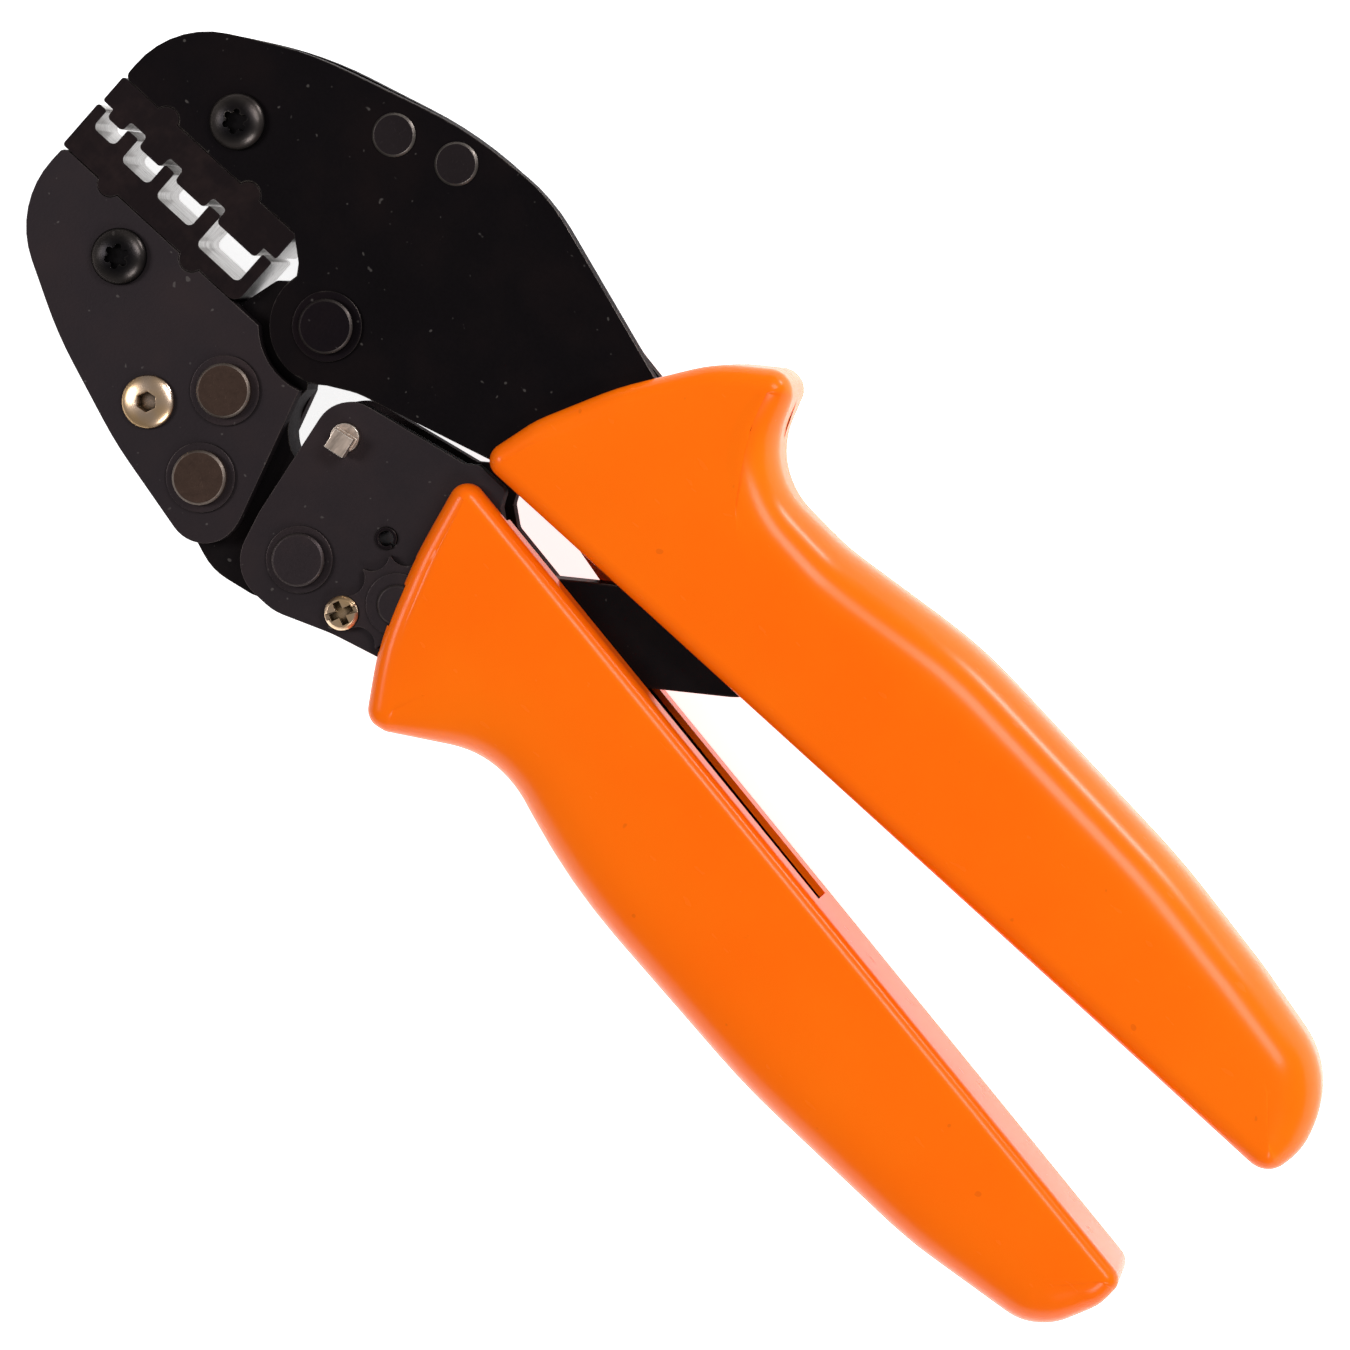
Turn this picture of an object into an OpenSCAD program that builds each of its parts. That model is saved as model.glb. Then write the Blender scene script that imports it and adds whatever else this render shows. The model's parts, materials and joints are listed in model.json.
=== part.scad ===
// Ratcheting hand crimping pliers with two interchangeable four-nest dies.
// The tool lies on its back. +X runs to the nose, +Y to the moving jaw, +Z up through the front plates.
// All outlines are drawn about the main pivot axis, with z = 0 midway between the two plates of a pair.

/* [Plates] */
// Thickness of each outer steel plate
plate_t = 3; // [2.6:0.1:3.2]
// Gap between the front and the back plate of a pair
plate_gap = 8; // [7.6:0.1:8.4]
// Side clearance of the parts that turn between the plates
side_clear = 0.1; // [0.05:0.05:0.2]
// Distance from the pivot axis to the seat that each die rests on
seat_y = 6.7; // [6.6:0.05:6.8]

/* [Pins and screws] */
// Radius of the main pivot pin and the handle pivot pin
pivot_r = 3; // [2.5:0.1:3.3]
// Radius of the heads of the large pins
pin_head_r = 4; // [3.8:0.1:4.2]
// Radius of the retaining washer under each large head
washer_r = 5.1; // [4.8:0.1:5.2]
// Radial running clearance of a pin in a bore
run_clear = 0.05; // [0.02:0.01:0.08]
// Radius of the heads of the two frame rivets
rivet_head_r = 3.2; // [2.8:0.1:3.4]
// Radius of the button heads of the die screws
die_screw_head_r = 4.1; // [3.8:0.1:4.2]
// Radius of the die screws' shanks
die_screw_r = 2.5; // [2:0.1:2.6]

/* [Adjuster] */
// Outer radius of the adjuster's star wheel
star_r = 7.1; // [7:0.05:7.2]
// Number of notches round the star wheel
star_notches = 10; // [10:1:10]
// Thickness of the star wheel
star_t = 1.2; // [1:0.1:1.3]
// Offset of the adjuster pin's middle from its journals
adjuster_throw = 0.35; // [0.2:0.05:0.4]

/* [Ratchet] */
// Tip radius of the ratchet teeth about the handle pivot
ratchet_r = 11; // [10.8:0.1:11.2]
// Number of gaps cut between the ratchet teeth
ratchet_gaps = 7; // [6:1:7]
// Angle from one ratchet tooth to the next
ratchet_pitch = 4.6; // [4.2:0.1:4.8]
// Angle at which the pawl rests to one side of the line to the handle pivot
pawl_tilt = 10; // [6:1:12]

/* [Grips] */
// Half thickness of both grips
grip_half_t = 10.5; // [10.3:0.1:10.8]
// Clearance of the plates in the grips' pockets
pocket_clear = 0.15; // [0.1:0.05:0.2]

/* [Smoothness] */
// Turn between two points of a rounded corner, in degrees
arc_step = 9; // [6:1:12]
// Longest chord on a rounded corner
arc_chord = 3; // [2:0.5:4]

/* [Hidden] */
$fn = 64;

// Where the main pivot axis stands in the part's frame: the origin is under the middle of the whole tool
pivot_at = [67.65, -1.4, grip_half_t];

// Levels along Z
core_z = plate_gap / 2;
face_z = core_z + plate_t;
inner_z = core_z - side_clear;
washer_t = 0.5;
head_t = 1.4;
// Overshoot of a cutting shape past the faces it cuts
cut = 1;
// Radial gap round a pin or screw that is pressed or screwed in
fit = 0.02;

// Pin, rivet and screw centres
handle_pivot = [-19.4, 27.6];
jaw_rivet_at = [[4.9, 16.9], [-0.8, 28.6]];
clamp_at = [12.2, 25.7];
frame_rivet_at = [[11.1, -26.8], [1.6, -29.8]];
die_screw_x = 29.3;
die_screw_y = 13;
pawl_at = [-12.6, 10.1];
roll_pin_at = [-26.7, 16.8];
adjuster_at = [-34.4, 22.6];
lock_screw_at = adjuster_at + [5.2, 6.4];
link_far = [-74, -6.5];
link_near = adjuster_at - [adjuster_throw, 0];
frame_tang_rivet_at = [[-112, -12.5], [-140, -10.5]];
handle_tang_rivet_at = [[-122, 26.5], [-146, 29]];

// Pins of the adjuster and the link
journal_r = 2.3;
crank_r = 2.7;
link_pin_r = 2.5;
// The link's far hole is cut wide, because the linkage is opened at this pivot
link_far_bore_r = 3.6;
frame_rivet_r = 2.5;
rivet_head_t = 0.5;
tang_rivet_r = 2;
clamp_r = 2.5;
lock_shank_r = 1.5;
lock_head_r = 2.5;
notch_r = lock_head_r + 0.05;
star_top = face_z + star_t;
adjuster_top = 9.2;

// Die bumps that locate each die in its seat
bump_x = [37.3, 21.2];
bump_r = 1.9;
bump_y = 6.15;
die_play = 0.05;

// ---- Outline helpers ----

function unit(v) = v / norm(v);
function turn(v) = [-v.y, v.x];
function wrapped(a) = a > 180 ? a - 360 : a < -180 ? a + 360 : a;

// Points on a circle between two angles
function arc_points(centre, r, from, to) =
    let (n = max(1, ceil(abs(to - from) / arc_step)))
    [for (i = [0 : n]) let (a = from + (to - from) * i / n) centre + r * [cos(a), sin(a)]];

// The arc that rounds corner b, between its neighbours a and c
function corner(a, b, c, r, step = arc_step, chord = arc_chord) =
    let (
        u = unit(a - b),
        w = unit(c - b),
        half = acos(max(-1, min(1, u * w))) / 2,
        centre = b + unit(u + w) * r / sin(half),
        p = b + u * r / tan(half) - centre,
        q = b + w * r / tan(half) - centre,
        from = atan2(p.y, p.x),
        sweep = wrapped(atan2(q.y, q.x) - from),
        n = max(2, ceil(abs(sweep) / step), ceil(abs(sweep) * PI / 180 * r / chord))
    )
    [for (i = [0 : n]) let (t = from + sweep * i / n) centre + r * [cos(t), sin(t)]];

// A closed outline from corners [x, y, rounding radius]
function rounded(path) =
    let (n = len(path))
    [for (i = [0 : n - 1])
        let (
            a = path[(i + n - 1) % n],
            b = path[i],
            c = path[(i + 1) % n]
        )
        each b.z == 0 ? [[b.x, b.y]] : corner([a.x, a.y], [b.x, b.y], [c.x, c.y], b.z)];

// Two triangles for each cell between neighbouring rings of a skin; cells run clockwise seen from outside
function skin(from, to, n) =
    [for (k = [from : to - 1])
        each [for (i = [0 : n - 1])
            let (a = k * n + i, b = k * n + (i + 1) % n)
            each [[a, a + n, b + n], [a, b + n, b]]]];

// Triangles that fill the strip between two chains of points, both listed in order of x
function filled(points, u, l, i = 0, j = 0) =
    let (
        u_left = i + 1 < len(u),
        l_left = j + 1 < len(l),
        on_u = u_left && (!l_left || points[u[i + 1]].x < points[l[j + 1]].x)
    )
    !u_left && !l_left ? []
    : on_u ? concat([[u[i], u[i + 1], l[j]]], filled(points, u, l, i + 1, j))
    : concat([[u[i], l[j + 1], l[j]]], filled(points, u, l, i, j + 1));

// The same triangles without the slivers whose corners repeat
function kept(faces) = [for (f = faces) if (f[0] != f[1] && f[1] != f[2] && f[2] != f[0]) f];

// ---- Solid helpers ----

module place() {
    translate(pivot_at) children();
}

module slab(outline, z0, z1) {
    translate([0, 0, z0]) linear_extrude(height = z1 - z0) polygon(outline);
}

module hole(at, r, z0 = -face_z - cut, z1 = face_z + cut) {
    translate([at.x, at.y, z0]) cylinder(r = r, h = z1 - z0);
}

module disc(at, r, z0, z1) {
    translate([at.x, at.y, z0]) cylinder(r = r, h = z1 - z0);
}

// A flat round head with a small chamfer round its free edge; side is 1 at the front, -1 at the back
module head(at, r, z0, h, side = 1, chamfer = 0.35) {
    translate([at.x, at.y, 0]) mirror([0, 0, side > 0 ? 0 : 1]) {
        translate([0, 0, z0]) cylinder(r = r, h = h - chamfer);
        translate([0, 0, z0 + h - chamfer]) cylinder(r1 = r, r2 = r - chamfer, h = chamfer);
    }
}

// A pin with a head at each end, standing on washers of thickness base_t
module headed_pin(at, r, r_head, h, base_t = 0) {
    disc(at, r, -face_z - base_t - cut / 4, face_z + base_t + cut / 4);
    for (side = [-1, 1]) head(at, r_head, face_z + base_t, h, side);
}

// Two rings, one outside each plate
module washer_pair(at, r_out, r_in, t) {
    for (z = [-face_z - t, face_z]) {
        difference() {
            disc(at, r_out, z, z + t);
            disc(at, r_in, z - cut, z + t + cut);
        }
    }
}

// ---- Fixed frame ----

lobe_r = 8.5;
// Rise of the crown's edge above its mean line: the front plate stands a little proud of the back plate
crown_front = 1;
crown_back = -0.4;
// Upper jaw, fixed handle's neck and the tang inside the fixed grip
function frame_outline(crown) = rounded([
    [45.9, -seat_y, 1], [12.6, -seat_y, 0.8], [9.2, -3.9, 1.5], [4, 4, 0], [-2.4, 8.15, 1],
    [-9.6, 4.2, 10], [-31.6, -2.1, 4], [-44, -2.6, 6], [-166, -3.6, 3], [-167, -11, 4],
    [-150, -17, 12], [-98, -20.6, 30], [-62, -19.6, 10], [-44, -25.2, 8], [-35, -27 - crown, 12],
    [-11.5, -34.3 - crown, 26], [3.5, -34.2 - crown / 3, 60], [28.6, -27.2, 60], [46.1, -17.2, 14]
]);

module frame_plate(z0, crown) {
    color("#1d1a1c") difference() {
        union() {
            slab(frame_outline(crown), z0, z0 + plate_t);
            disc([0, 0], lobe_r, z0, z0 + plate_t);
        }
        for (x = bump_x) hole([x, -bump_y], bump_r + die_play);
        hole([0, 0], pivot_r + fit);
        hole([die_screw_x, -die_screw_y], die_screw_r + fit);
        for (p = frame_rivet_at) hole(p, frame_rivet_r + fit);
        for (p = frame_tang_rivet_at) hole(p, tang_rivet_r + fit);
        hole(link_far, link_pin_r + fit);
    }
}

module frame_plate_front() {
    frame_plate(core_z, crown_front);
}

module frame_plate_back() {
    frame_plate(-face_z, crown_back);
}

// Block that holds the frame plates apart at the crown of the upper jaw; its ear carries the return spring
spring_ear = [-6.6, -28.2];
frame_spacer_outline = rounded([
    [17, -23.5, 2], [8, -22, 3], [-4, -25, 3], [-9.5, -25.6, 2.6], [-9.5, -31, 2.6], [4, -33, 6], [17, -29.8, 2]
]);

module frame_spacer() {
    color("#2b282a") difference() {
        slab(frame_spacer_outline, -core_z, core_z);
        for (p = frame_rivet_at) hole(p, frame_rivet_r + fit);
        hole(spring_ear, spring_eye_r);
        translate([spring_ear.x - spring_slot / 2, spring_ear.y, -spring_slot / 2])
            cube([spring_slot, 6, spring_slot]);
    }
}

module frame_rivets() {
    color("#3a3637") for (p = frame_rivet_at) headed_pin(p, frame_rivet_r, rivet_head_r, rivet_head_t);
}

module main_pivot_pin() {
    color("#232022") headed_pin([0, 0], pivot_r, pin_head_r, head_t, washer_t);
}

module main_pivot_washers() {
    color("#2a2728") washer_pair([0, 0], washer_r, pivot_r + 0.02, washer_t);
}

// Block and rivets inside the fixed grip
frame_tang_spacer_outline = rounded([
    [-104, -6, 2], [-148, -6, 2], [-148, -15, 2], [-104, -17.5, 2]
]);

module frame_tang_spacer() {
    color("#2b282a") difference() {
        slab(frame_tang_spacer_outline, -core_z, core_z);
        for (p = frame_tang_rivet_at) hole(p, tang_rivet_r + fit);
    }
}

module frame_tang_rivets() {
    color("#3a3637") for (p = frame_tang_rivet_at) disc(p, tang_rivet_r, -face_z, face_z);
}

module link_pin() {
    color("#3a3637") disc(link_far, link_pin_r, -face_z, face_z);
}

// ---- Springs ----

spring_eye_r = 0.9;
spring_slot = 1.4;

// Tension spring from p to q: a straight leg, close coils and a straight leg, swept by a thin wire
module tension_spring(p, q, coil_r, wire_r, coils, leg) {
    axis = unit([q.x - p.x, q.y - p.y, 0]);
    side = [-axis.y, axis.x, 0];
    start = [p.x, p.y, 0];
    finish = [q.x, q.y, 0];
    steps = 8;
    sides = 6;
    n = coils * steps;
    bend = 3 * wire_r;
    pitch = (norm(finish - start) - 2 * leg) / n;
    radial = function (i) cos(360 * i / steps) * side + [0, 0, sin(360 * i / steps)];
    path = concat(
        [start, start + axis * (leg - bend)],
        [for (i = [0 : n]) start + axis * (leg + pitch * i) + coil_r * radial(i)],
        [finish - axis * (leg - bend), finish]
    );
    m = len(path);
    points = [for (i = [0 : m - 1])
        let (
            t = unit(path[min(m - 1, i + 1)] - path[max(0, i - 1)]),
            out = i < 2 || i > m - 3 ? side : radial(i - 2),
            e = unit(out - (out * t) * t),
            f = cross(t, e)
        )
        each [for (k = [0 : sides - 1])
            let (a = 360 * k / sides)
            path[i] + wire_r * (cos(a) * e + sin(a) * f)]];
    faces = concat(
        [[for (k = [0 : sides - 1]) k]],
        skin(0, m - 1, sides),
        [[for (k = [sides - 1 : -1 : 0]) (m - 1) * sides + k]]
    );
    polyhedron(points = points, faces = faces, convexity = 10);
}

spring_tab = [-6.9, -5.4];

module return_spring() {
    color("#8f8b85") tension_spring(spring_tab, spring_ear, 2.2, 0.4, 14, 4);
}

// ---- Dies ----

punch_tip = [-0.6, -0.5, -0.45, -0.15];
// Left and right side of each punch on the upper die
punch_x = [[43.95, 41], [37.65, 33.35], [30.5, 24.8], [22, 14.5]];
// Left and right side of each nest in the lower die, and its floor
nest_x = [[44.6, 40.5], [38.4, 33.1], [31.2, 24.4], [22.1, 13.95]];
nest_floor = [1.8, 2.6, 3, 4.2];
upper_end_y = -2.05;
upper_groove_y = -2.45;
wall_top_y = -1.35;

upper_die_outline = rounded(concat(
    [[12, -seat_y + die_play, 0.6], [12, upper_end_y, 0.4]],
    [for (i = [3 : -1 : 0])
        let (groove = i == 3 ? upper_end_y : upper_groove_y, next = i == 0 ? upper_end_y : upper_groove_y)
        each [
            [punch_x[i][1] - 0.15, groove, i == 3 ? 0.1 : 0.5],
            [punch_x[i][1], punch_tip[i], 0.7],
            [punch_x[i][0], punch_tip[i], 0.7],
            [punch_x[i][0] + 0.15, next, i == 0 ? 0.1 : 0.5]
        ]],
    [[46.1, upper_end_y, 0.4], [46.1, -seat_y + die_play, 0.5]]
));

lower_die_outline = rounded(concat(
    [[46.3, seat_y - die_play, 0.5], [46.3, wall_top_y, 0.5]],
    [for (i = [0 : 3])
        each [
            [nest_x[i][0], wall_top_y, 0.35],
            [nest_x[i][0], nest_floor[i], 0.9],
            [nest_x[i][1], nest_floor[i], 0.9],
            [nest_x[i][1], wall_top_y, 0.35]
        ]],
    [[12.1, wall_top_y, 0.35], [12.1, seat_y - die_play, 1.6]]
));

// Tongue that enters the gap between the plates and takes the die screw
tongue_outline = rounded([
    [21, 5.6, 0], [38, 5.6, 0], [38, 10.5, 3], [33.6, 17.6, 3], [25, 17.6, 3], [21, 10.5, 3]
]);

module die(outline, side) {
    color("#211d1f") difference() {
        union() {
            slab(outline, -face_z, face_z);
            for (x = bump_x) disc([x, side * bump_y], bump_r, -face_z, face_z);
            mirror([0, side > 0 ? 0 : 1, 0]) slab(tongue_outline, -inner_z, inner_z);
        }
        hole([die_screw_x, side * die_screw_y], die_screw_r + fit);
    }
}

module die_upper() {
    die(upper_die_outline, -1);
}

module die_lower() {
    die(lower_die_outline, 1);
}

// Low domed screw with a six-lobe recess
module die_screw(at) {
    dome_h = 2.3;
    rim_h = 0.5;
    dome = [for (a = [0 : 9 : 90]) [die_screw_head_r * cos(a), rim_h + (dome_h - rim_h) * sin(a)]];
    color("#1a181a") difference() {
        union() {
            disc(at, die_screw_r, -face_z, face_z + cut / 4);
            translate([at.x, at.y, face_z]) rotate_extrude() polygon(concat([[0, 0], [die_screw_head_r, 0]], dome));
        }
        translate([at.x, at.y, face_z + 0.6]) {
            cylinder(r = 1.3, h = 3);
            for (a = [0 : 60 : 300]) rotate(a) translate([1.35, 0, 0]) cylinder(r = 0.5, h = 3, $fn = 24);
        }
    }
}

module die_screw_upper() {
    die_screw([die_screw_x, -die_screw_y]);
}

module die_screw_lower() {
    die_screw([die_screw_x, die_screw_y]);
}

// ---- Moving jaw ----

jaw_arc_r = 10.1;
jaw_plate_outline = concat(
    rounded([
        [45.9, seat_y, 1], [46.2, 18, 14], [28.6, 27.5, 60], [12, 33.4, 60], [-9.6, 38.2, 5.5], [-9.3, 30, 8],
        [-3.1, 9.6, 0]
    ]),
    arc_points([0, 0], jaw_arc_r, 107, 41.6)
);

module jaw_plate(z0) {
    color("#211e20") difference() {
        slab(jaw_plate_outline, z0, z0 + plate_t);
        for (x = bump_x) hole([x, bump_y], bump_r + die_play);
        hole([die_screw_x, die_screw_y], die_screw_r + fit);
        for (p = jaw_rivet_at) hole(p, pivot_r + fit);
        hole(clamp_at, clamp_r + fit);
    }
}

module jaw_plate_front() {
    jaw_plate(core_z);
}

module jaw_plate_back() {
    jaw_plate(-face_z);
}

// Lever between the jaw plates: it carries the jaw, turns on the main pivot and reaches the handle pivot
lever_outline = rounded([
    [3, 3, 0], [8, -1.2, 0], [10.3, 0.4, 1], [11.6, 5.2, 0.5], [11.6, seat_y, 0.3], [19.6, seat_y + 0.4, 1], [19.6, 24, 4], [13, 31.4, 4], [-2, 35, 3], [-10.5, 38, 9],
    [-20.5, 36, 4], [handle_pivot.x, handle_pivot.y, 0], [-13.5, 17.6, 0], [-8.4, 17, 0], [-3, 8.5, 0]
]);
lever_end_r = 8;
lever_hub_r = 7.8;
// Round window in the lever in which the pawl swings
pawl_window_r = 8;

// Direction of the pawl from the handle pivot
pawl_bearing = atan2(pawl_at.y - handle_pivot.y, pawl_at.x - handle_pivot.x);
ratchet_from = pawl_bearing + 11;
ratchet_to = pawl_bearing - 38;

module jaw_lever() {
    sector = concat([handle_pivot], arc_points(handle_pivot, ratchet_r, ratchet_from, ratchet_to));
    color("#262325") difference() {
        union() {
            slab(lever_outline, -inner_z, inner_z);
            slab(sector, -inner_z, inner_z);
            disc([0, 0], lever_hub_r, -inner_z, inner_z);
            disc(handle_pivot, lever_end_r, -inner_z, inner_z);
            disc(spring_tab, 2.2, -inner_z, inner_z);
        }
        hole(pawl_at, pawl_window_r);
        hole(pawl_at + [1.2, 0.1], pawl_window_r);
        hole([0, 0], pivot_r + run_clear);
        hole(handle_pivot, pivot_r + run_clear);
        for (p = jaw_rivet_at) hole(p, pivot_r + fit);
        hole(clamp_at, clamp_r + fit);
        hole(spring_tab, spring_eye_r);
        translate([spring_tab.x - spring_slot / 2, spring_tab.y - 3, -spring_slot / 2])
            cube([spring_slot, 3, spring_slot]);
        for (i = [0 : ratchet_gaps - 1])
            translate([handle_pivot.x, handle_pivot.y, -face_z])
                rotate(pawl_bearing + 2 - i * ratchet_pitch)
                    linear_extrude(height = 2 * face_z)
                        polygon([[ratchet_r - 0.9, 0], [ratchet_r + 0.4, 0.42], [ratchet_r + 0.4, -0.42]]);
    }
}

module jaw_rivets() {
    color("#4a423f") for (p = jaw_rivet_at) headed_pin(p, pivot_r, pin_head_r, head_t, washer_t);
}

module jaw_rivet_washers() {
    color("#2a2728") for (p = jaw_rivet_at) washer_pair(p, washer_r, pivot_r + 0.02, washer_t);
}

// Low domed plated screw with a hexagon socket
clamp_head_r = 3.9;
clamp_nut_t = 2;

module jaw_clamp_screw() {
    rim_h = 0.4;
    dome_h = 1.5;
    dome = [for (a = [0 : 9 : 90]) [clamp_head_r * cos(a), rim_h + (dome_h - rim_h) * sin(a)]];
    color("#c9a878") difference() {
        union() {
            disc(clamp_at, clamp_r, -face_z - clamp_nut_t, face_z + cut / 4);
            translate([clamp_at.x, clamp_at.y, face_z]) rotate_extrude() polygon(concat([[0, 0], [clamp_head_r, 0]], dome));
        }
        translate([clamp_at.x, clamp_at.y, face_z - 1]) rotate(8) cylinder(r = 1.55, h = 4, $fn = 6);
    }
}

module jaw_clamp_nut() {
    color("#c9a878") difference() {
        translate([clamp_at.x, clamp_at.y, -face_z - clamp_nut_t]) cylinder(r = 4.6, h = clamp_nut_t, $fn = 6);
        disc(clamp_at, clamp_r + fit, -face_z - clamp_nut_t - cut, -face_z + cut);
    }
}

// ---- Moving handle ----

handle_plate_outline = rounded([
    [-7.2, 5.6, 5.4], [-27.9, 1.2, 0.8], [-29.6, -0.1, 1.2], [-34.9, -0.1, 1], [-36, 2.2, 1], [-38.7, 4.3, 1.5],
    [-158, 22, 4], [-161, 31.5, 4], [-138, 33.2, 20], [-100, 31, 30], [-62, 25.4, 14], [-46, 27.9, 8],
    [-30, 32.4, 20], [-21.5, 35.8, 8], [-12.8, 35.8, 6.5], [-10.4, 26.5, 14]
]);

module handle_plate(z0, front) {
    color("#1f1c1e") difference() {
        slab(handle_plate_outline, z0, z0 + plate_t);
        hole(handle_pivot, pivot_r + fit);
        hole(pawl_at, pawl_pin_r + run_clear);
        hole(roll_pin_at, roll_pin_r + fit);
        hole(adjuster_at, journal_r + fit);
        for (p = handle_tang_rivet_at) hole(p, tang_rivet_r + fit);
        if (front) hole(lock_screw_at, lock_shank_r + fit);
    }
}

module handle_plate_front() {
    handle_plate(core_z, true);
}

module handle_plate_back() {
    handle_plate(-face_z, false);
}

module handle_pivot_pin() {
    color("#232022") headed_pin(handle_pivot, pivot_r, pin_head_r - 0.1, head_t, washer_t);
}

module handle_pivot_washers() {
    color("#2a2728") washer_pair(handle_pivot, washer_r - 0.2, pivot_r + 0.02, washer_t);
}

// Block and rivets inside the moving grip
handle_spacer_outline = rounded([
    [-114, 19, 2], [-152, 24.6, 2], [-152, 31, 2], [-114, 30.4, 2]
]);

module handle_spacer() {
    color("#2b282a") difference() {
        slab(handle_spacer_outline, -core_z, core_z);
        for (p = handle_tang_rivet_at) hole(p, tang_rivet_r + fit);
    }
}

module handle_rivets() {
    color("#3a3637") for (p = handle_tang_rivet_at) disc(p, tang_rivet_r, -face_z, face_z);
}

// Rolled spring pin, open along one side
roll_pin_r = 1.6;

module roll_pin() {
    color("#2e2a2b") difference() {
        disc(roll_pin_at, roll_pin_r, -face_z - 0.5, face_z + 0.5);
        disc(roll_pin_at, 1.1, -face_z - cut, face_z + cut);
        translate([roll_pin_at.x - 3, roll_pin_at.y - 0.25, -face_z - cut]) cube([3, 0.5, 2 * (face_z + cut)]);
    }
}

// ---- Adjuster ----

// Pin with journals in the handle plates and an offset middle on which the link turns
module adjuster_pin() {
    color("#262325") union() {
        disc(adjuster_at, journal_r, -face_z - 1, face_z + cut);
        disc(link_near, crank_r, -inner_z, inner_z);
        disc(adjuster_at, journal_r, face_z, star_top + washer_t);
        head(adjuster_at, 2.95, star_top + washer_t - 0.1, adjuster_top - star_top - washer_t + 0.1);
        head(adjuster_at, 3.2, face_z + washer_t, 1, -1);
    }
}

module adjuster_wheel() {
    color("#272426") difference() {
        disc(adjuster_at, star_r, face_z, star_top);
        disc(adjuster_at, journal_r + 0.02, face_z - cut, star_top + cut);
        for (i = [0 : star_notches - 1])
            let (a = lock_bearing + 360 * i / star_notches)
            disc(adjuster_at + lock_distance * [cos(a), sin(a)], notch_r, face_z - cut, star_top + cut);
    }
}

lock_distance = norm(lock_screw_at - adjuster_at);
lock_bearing = atan2(lock_screw_at.y - adjuster_at.y, lock_screw_at.x - adjuster_at.x);

module adjuster_washers() {
    color("#2c292b") {
        difference() {
            disc(adjuster_at, 4.6, star_top, star_top + washer_t - 0.1);
            disc(adjuster_at, journal_r + 0.02, star_top - cut, star_top + cut);
        }
        difference() {
            disc(adjuster_at, 4.6, -face_z - washer_t, -face_z);
            disc(adjuster_at, journal_r + 0.02, -face_z - cut, -face_z + cut);
        }
    }
}

// Brass-plated screw whose head sits in one notch of the star wheel and stops it turning
module adjuster_lock_screw() {
    slot_turn = 58;
    color("#cdb083") difference() {
        union() {
            disc(lock_screw_at, lock_shank_r, core_z, face_z + cut / 4);
            head(lock_screw_at, lock_head_r, face_z, 1.9, 1, 0.5);
        }
        translate([lock_screw_at.x, lock_screw_at.y, face_z + 2]) rotate(slot_turn) {
            cube([6, 0.95, 1], center = true);
            for (a = [10, 100]) rotate(a) cube([3.5, 1.05, 2.2], center = true);
        }
    }
}

// ---- Ratchet pawl ----

pawl_pin_r = 2.1;
pawl_hub_r = 3.6;
pawl_gap = 0.25;
// Reach of the pawl from its pin, so that its tip passes just clear of the tooth tips
pawl_reach = norm(pawl_at - handle_pivot) - ratchet_r - pawl_gap;
pawl_arm = [-5.4, 1.1];

module pawl() {
    aim = pawl_bearing + 180 + pawl_tilt;
    color("#6d6863") difference() {
        union() {
            disc(pawl_at, pawl_hub_r, -inner_z, inner_z);
            translate([pawl_at.x, pawl_at.y, -inner_z]) rotate(aim) linear_extrude(height = 2 * inner_z)
                polygon(rounded([[0, -2.6, 0], [pawl_reach, -0.5, 0.25], [pawl_reach, 0.5, 0.25], [0, 2.6, 0]]));
            translate([pawl_at.x, pawl_at.y, -1.5]) linear_extrude(height = 3)
                polygon(rounded([[0, -1.6, 0], [0, 2.6, 0], [pawl_arm.x - 1, pawl_arm.y + 1.2, 1],
                    [pawl_arm.x - 1, pawl_arm.y - 1.2, 1]]));
        }
        hole(pawl_at, pawl_pin_r + fit);
        hole(pawl_at + pawl_arm, 0.55);
    }
}

// Pin that the pawl is fixed on; its square end takes a spanner to release the ratchet
module pawl_pin() {
    square_w = 3.1;
    square_offset = [-0.2, 0.8];
    round_z = face_z + 0.7;
    square_top = 10.1;
    color("#8b837b") {
        disc(pawl_at, pawl_pin_r, -round_z, round_z);
        translate([pawl_at.x + square_offset.x, pawl_at.y + square_offset.y, round_z]) rotate(10) {
            translate([-square_w / 2, -square_w / 2, 0]) cube([square_w, square_w, square_top - round_z]);
        }
    }
}

module pawl_spring() {
    start = pawl_at + pawl_arm + [-1.35, 0.5];
    finish = roll_pin_at + (roll_pin_r + 0.1) * unit(start - roll_pin_at);
    color("#8f8b85") tension_spring(start, finish, 0.95, 0.2, 8, 1);
}

// ---- Toggle link ----

link_axis = unit(link_far - link_near);
link_len = norm(link_far - link_near);

module toggle_link() {
    outline = rounded([
        [-6, -6.1, 6], [link_len + 6.5, -6.1, 5.5], [link_len + 6.5, 8.2, 7], [16, 8.2, 12], [-6, 5.6, 5.6]
    ]);
    color("#1b181b") difference() {
        translate([link_near.x, link_near.y, 0]) rotate(atan2(link_axis.y, link_axis.x))
            mirror([0, 1, 0]) slab(outline, -inner_z, inner_z);
        hole(link_near, crank_r + run_clear);
        hole(link_far, link_far_bore_r);
    }
}

// ---- Grips ----

grip_step = 18;
grip_chord = 9;
grip_run = 14;

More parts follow.
